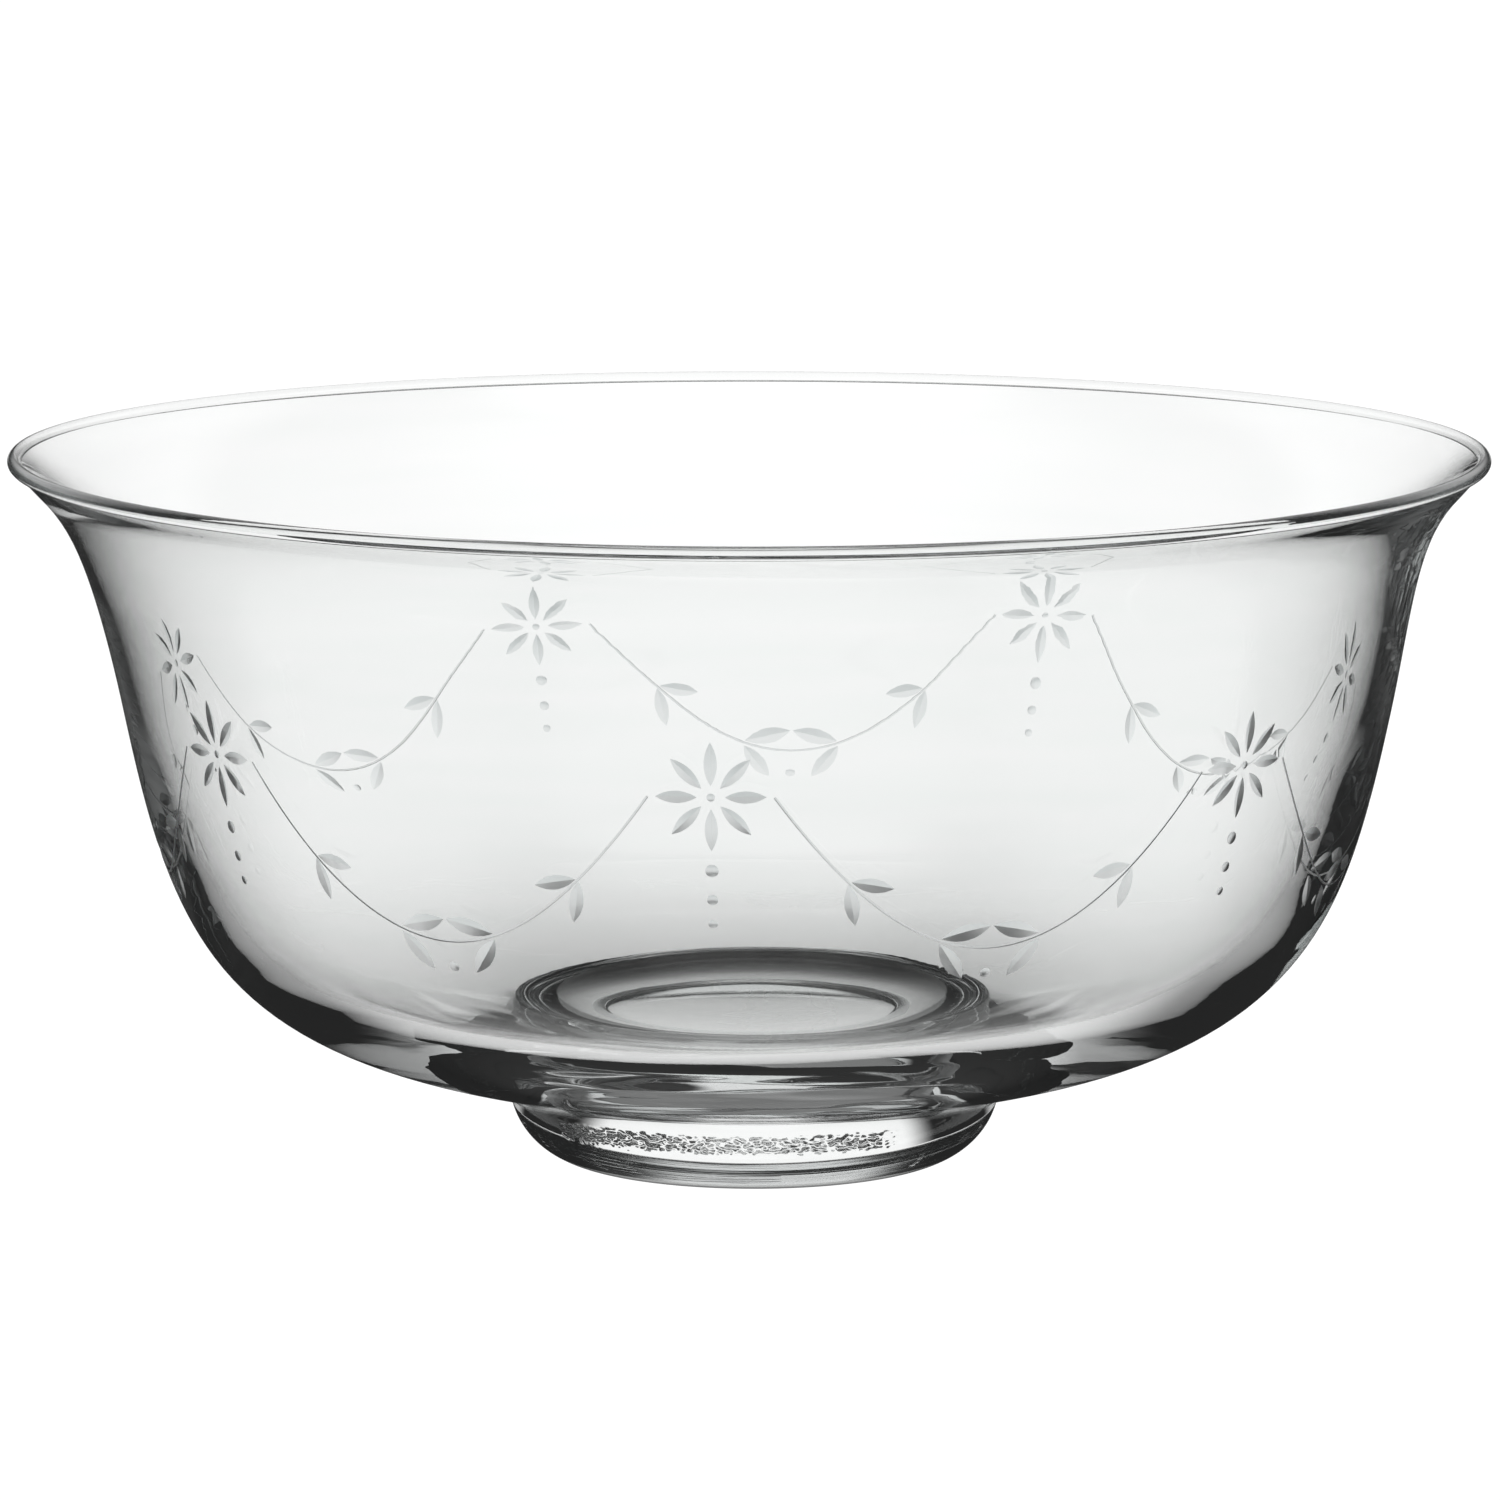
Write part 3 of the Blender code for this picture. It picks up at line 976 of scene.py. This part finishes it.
for stops in (PAINTED_SHADOW_STOPS, TURNED_STOPS, BESIDE_STOPS):
    greys = [(place / STOP_REACH, (grey, grey, grey, 1.0)) for place, grey in stops]
    glow = add(tree, "ShaderNodeValToRGB", {"Fac": along_stops}, stops=greys)
    glows.append(add(tree, MIX, {0: in_front, 2: glow, 3: LIT}))
painted_shadow_glow, turned_light, beside_light = glows
print("floor", FLOOR_SIZE, "m wide,", len(glows), "glows")

# %% [markdown]
# A ray that only passed through sees the floor white, with a soft painted shade round the foot,
# which is a painted shadow of the bowl on the floor. Far to the sides the floor turns dark for rays
# that passed two walls, which gives the bowl its dark edges.
# Square to the side it is white again, so that the bowl is clear when it is seen from there. A
# little gain towards the sides makes up for the light that the slanted wall turns away.

# %% Floor: light that passed through
SIDE_START = 100 * MM
SIDE_SLOPE = (0.35, 0.6)
BROADSIDE = (0.88, 0.95)
GAIN_START = 40 * MM
GAIN_SLOPE = (0.05, 0.35)
SIDE_GAIN = 1.1

starts = [add(tree, MATH, {0: sideways, 1: start}, **MINUS) for start in (SIDE_START, GAIN_START)]
aside, outer = [add(tree, MATH, {0: start, 1: reach}, **OVER) for start in starts]
behind = add(tree, RANGE, {"Value": aside, FROM: SIDE_SLOPE, TO: (WHITE, DARK)}, **SMOOTH)
broadside = add(tree, RANGE, {"Value": side_share, FROM: BROADSIDE}, **SMOOTH)
behind = add(tree, MIX, {0: broadside, 2: behind, 3: WHITE})
behind = add(tree, MIX, {0: ray.two_walls, 2: WHITE, 3: behind})
gain = add(tree, RANGE, {"Value": outer, FROM: GAIN_SLOPE, TO: (1.0, SIDE_GAIN)}, **SMOOTH)
# The painted shadow round the foot darkens what passed through the glass.
passed = add(tree, MATH, {0: painted_shadow_glow, 1: behind}, **TIMES)
passed = add(tree, MATH, {0: passed, 1: gain}, **TIMES)
passed = add(tree, MIX, {0: ray.entered, 2: WHITE, 3: passed})
print("sides are dark from", SIDE_START / MM, "mm out")

# %% [markdown]
# A ray that was mirrored inside the glass sees a dark floor, except in three places: close to the
# foot, in a strip at the back for central and guided rays, and beside the bowl for rays that were
# mirrored once. The last of these softens the inner side of the dark edges.

# %% Floor: light that was mirrored inside
TURNED_WIDTH = (50 * MM, 66 * MM)
TURNED_REACH = (85 * MM, 105 * MM)
CENTRE_WIDTH = (25 * MM, 50 * MM)
BACK_START = (60 * MM, 100 * MM)
GUIDED_SLOPE = (0.3, 0.5)
BESIDE_SLOPE = (0.5, 0.75)

spans = (sideways, TURNED_WIDTH), (reach, TURNED_REACH), (sideways, CENTRE_WIDTH), (side_share, GUIDED_SLOPE)
narrow, close, centre, middle = [
    add(tree, RANGE, {"Value": value, FROM: span, TO: FALL}, **SMOOTH) for value, span in spans
]
close = add(tree, MATH, {0: close, 1: narrow}, **TIMES)
inner = add(tree, MIX, {0: close, 2: DARK, 3: turned_light})
central = add(tree, MATH, {0: ray.central, 1: centre}, **TIMES)
guided = add(tree, MATH, {0: ray.guided, 1: middle}, **TIMES)
strip = add(tree, MATH, {0: guided, 1: central}, **LARGER)
at_back = add(tree, RANGE, {"Value": axes["Y"], FROM: BACK_START}, **SMOOTH)
strip = add(tree, MATH, {0: strip, 1: at_back}, **TIMES)
inner = add(tree, MIX, {0: strip, 2: inner, 3: LIT})
beside = add(tree, RANGE, {"Value": side_share, FROM: BESIDE_SLOPE}, **SMOOTH)
beside = add(tree, MATH, {0: beside, 1: ray.once}, **TIMES)
inner = add(tree, MIX, {0: beside, 2: inner, 3: beside_light})
print("strip at the back from", BACK_START[0] / MM, "mm")

# %% [markdown]
# A ray that was mirrored on the outer face and never went in sees a dark floor too, with a weak
# glow in front and a bright streak straight behind. The floor is part of the set and not of the
# bowl.

# %% Floor: first reflections
FIRST_FRONT = (-0.45, -0.95)
FIRST_BACK = (0.955, 0.992)
FRONT_GLOW = 0.15

front = add(tree, RANGE, {"Value": back_share, FROM: FIRST_FRONT, TO: (0.0, FRONT_GLOW)}, **SMOOTH)
back = add(tree, RANGE, {"Value": back_share, FROM: FIRST_BACK}, **SMOOTH)
first = add(tree, MATH, {0: front, 1: back}, **LARGER)
first = add(tree, MIX, {0: first, 2: DARK, 3: LIT})
mirrored = add(tree, MIX, {0: ray.entered, 2: first, 3: inner})
strength = add(tree, MIX, {0: ray.turned, 2: passed, 3: mirrored})
glow = add(tree, "ShaderNodeEmission", {"Color": linear("#ffffff"), "Strength": strength})
add(tree, "ShaderNodeOutputMaterial", {"Surface": glow})
floor.data.materials.append(material)
print("floor has", len(tree.nodes), "nodes")

# %% [markdown]
# Above the floor stands a white sweep, with darkness high over it and at its sides. Its glow depends
# only on the direction. Rays that passed through the glass see the sweep, and rays that never met
# the glass see white.

# %% World: light that passed through
SWEEP_WIDTH = (0.45, 0.6)
SWEEP_RISE = (0.43, 0.52)

world = bpy.data.worlds.new("studio")
bpy.context.scene.world = world
world.use_nodes = True
tree = world.node_tree
tree.nodes.clear()
ray = ray_story(tree)
heading = add(tree, "ShaderNodeTexCoord").outputs["Generated"]
axes = add(tree, "ShaderNodeSeparateXYZ", {0: heading}).outputs
sideways = add(tree, MATH, {0: axes["X"]}, operation="ABSOLUTE")
sweep = add(tree, RANGE, {"Value": sideways, FROM: SWEEP_WIDTH, TO: (WHITE, DARK)}, **SMOOTH)
broadside = add(tree, RANGE, {"Value": sideways, FROM: BROADSIDE}, **SMOOTH)
sweep = add(tree, MIX, {0: broadside, 2: sweep, 3: WHITE})
high = add(tree, RANGE, {"Value": axes["Z"], FROM: SWEEP_RISE}, **SMOOTH)
sweep = add(tree, MIX, {0: high, 2: sweep, 3: DARK})
passed = add(tree, MIX, {0: ray.entered, 2: WHITE, 3: sweep})
print("sweep ends at", SWEEP_WIDTH, "to the sides")

# %% [markdown]
# The lights that show as reflections are a soft key light, high in front, a wide light overhead,
# and the sweep itself where a ray glances off the inside of the bowl towards the back.

# %% World: first reflections
KEY_RISE = math.radians(45)
KEY_SPREAD = (0.45, 0.95)
KEY_LIGHT = 0.6
TOP_RISE = (0.9, 0.97)
GLANCE_RISE = (0.05, 0.25)
GLANCE_BACK = (0.3, 0.6)

key_heading = (0.0, -math.cos(KEY_RISE), math.sin(KEY_RISE))
key = add(tree, "ShaderNodeVectorMath", {0: heading, 1: key_heading}, operation="DOT_PRODUCT")
key = key.outputs["Value"]
spans = (key, KEY_SPREAD), (axes["Z"], TOP_RISE), (axes["Z"], GLANCE_RISE), (axes["Y"], GLANCE_BACK)
key, top, rising, away = [add(tree, RANGE, {"Value": value, FROM: span}, **SMOOTH) for value, span in spans]
first = add(tree, MIX, {0: key, 2: DARK, 3: KEY_LIGHT})
first = add(tree, MIX, {0: top, 2: first, 3: LIT})
glance = add(tree, MATH, {0: rising, 1: away}, **TIMES)
stayed_out = add(tree, MATH, {0: 1.0, 1: ray.entered}, **MINUS)
glance = add(tree, MATH, {0: glance, 1: stayed_out}, **TIMES)
first = add(tree, MIX, {0: glance, 2: first, 3: LIT})
first = add(tree, MIX, {0: ray.several, 2: first, 3: DARK})
print("key light", KEY_LIGHT, "and light overhead", LIT)

# %% [markdown]
# Light that was mirrored often came along the wall or through the foot, and fills the lip and the
# thick base. It is bright from the middle of the sweep, dark from the sides and weaker from the
# front. Stops of height and brightness draw the lines in the base, one set for light in the bowl and
# one for light that crossed the joint.

# %% World: light that was guided in the glass
GUIDED_WIDTH = (0.35, 0.78)
GUIDED_EDGE = (0.75, 0.95)
EDGE_SHARE = 0.45
GUIDED_BACK = (-0.55, -0.35)
FRONT_SHARE = 0.2
CENTRE_SPREAD = (0.15, 0.3)
CENTRE_STOPS = ((0.0, 1.0), (0.4, 1.0), (0.46, 0.05), (0.76, 0.05), (0.81, 0.95))
CROSSED_STOPS = ((0.0, 0.02), (0.35, 0.02), (0.45, 0.9))

glows = []
for stops in (CENTRE_STOPS, CROSSED_STOPS):
    greys = [(place, (grey, grey, grey, 1.0)) for place, grey in stops]
    glows.append(add(tree, "ShaderNodeValToRGB", {"Fac": axes["Z"]}, stops=greys))
bright = add(tree, MIX, {0: ray.crossed, 2: glows[0], 3: glows[1]})
not_front = add(tree, RANGE, {"Value": axes["Y"], FROM: GUIDED_BACK}, **SMOOTH)
centre = add(tree, RANGE, {"Value": sideways, FROM: CENTRE_SPREAD, TO: FALL}, **SMOOTH)
central = add(tree, MATH, {0: ray.central, 1: centre}, **TIMES)
central = add(tree, MATH, {0: central, 1: not_front}, **TIMES)
middle = add(tree, RANGE, {"Value": sideways, FROM: GUIDED_WIDTH, TO: FALL}, **SMOOTH)
edge = add(tree, RANGE, {"Value": sideways, FROM: GUIDED_EDGE, TO: (EDGE_SHARE, 0.0)}, **SMOOTH)
edge = add(tree, MATH, {0: edge, 1: ray.not_most}, **TIMES)
middle = add(tree, MATH, {0: middle, 1: edge}, **LARGER)
guided = add(tree, MATH, {0: ray.guided, 1: middle}, **TIMES)
less_front = add(tree, MATH, {0: not_front, 1: FRONT_SHARE}, **LARGER)
guided = add(tree, MATH, {0: guided, 1: less_front}, **TIMES)
guided = add(tree, MATH, {0: guided, 1: central}, **LARGER)
mirrored = add(tree, MIX, {0: guided, 2: first, 3: bright})
strength = add(tree, MIX, {0: ray.turned, 2: passed, 3: mirrored})
sky = add(tree, "ShaderNodeBackground", {"Color": linear("#ffffff"), "Strength": strength})
add(tree, "ShaderNodeOutputWorld", {"Surface": sky})
print("studio has", len(tree.nodes), "nodes")

# %% [markdown]
# The camera stands 1.7 m in front and looks down at the bowl at a shallow angle, with a long lens,
# so the rim reads as a flat ellipse and the foot stays in sight. Light in the rim is mirrored many
# times before it leaves, so the bounce limits are raised far above the usual values.

# %% Camera and light paths
CAMERA_PLACE = (-0.77 * MM, -1.7, 326.67 * MM)
CAMERA_TILT = math.radians(90 - 8.54)
FOCAL_PIXELS = 9937
FRAME_PIXELS = 1500
SENSOR = 36.0

camera_data = bpy.data.cameras.new("camera")
camera = put("camera", camera_data)
camera.location = CAMERA_PLACE
camera.rotation_euler = (CAMERA_TILT, 0.0, 0.0)
camera_data.sensor_width = SENSOR
camera_data.lens = FOCAL_PIXELS / FRAME_PIXELS * SENSOR
camera_data.clip_start = 0.01
scene = bpy.context.scene
scene.camera = camera
scene.view_settings.view_transform = "Standard"
scene.cycles.max_bounces = 256
scene.cycles.transmission_bounces = 200
scene.cycles.glossy_bounces = 200
scene.cycles.transparent_max_bounces = 32
print("lens", round(camera_data.lens, 1), "mm")
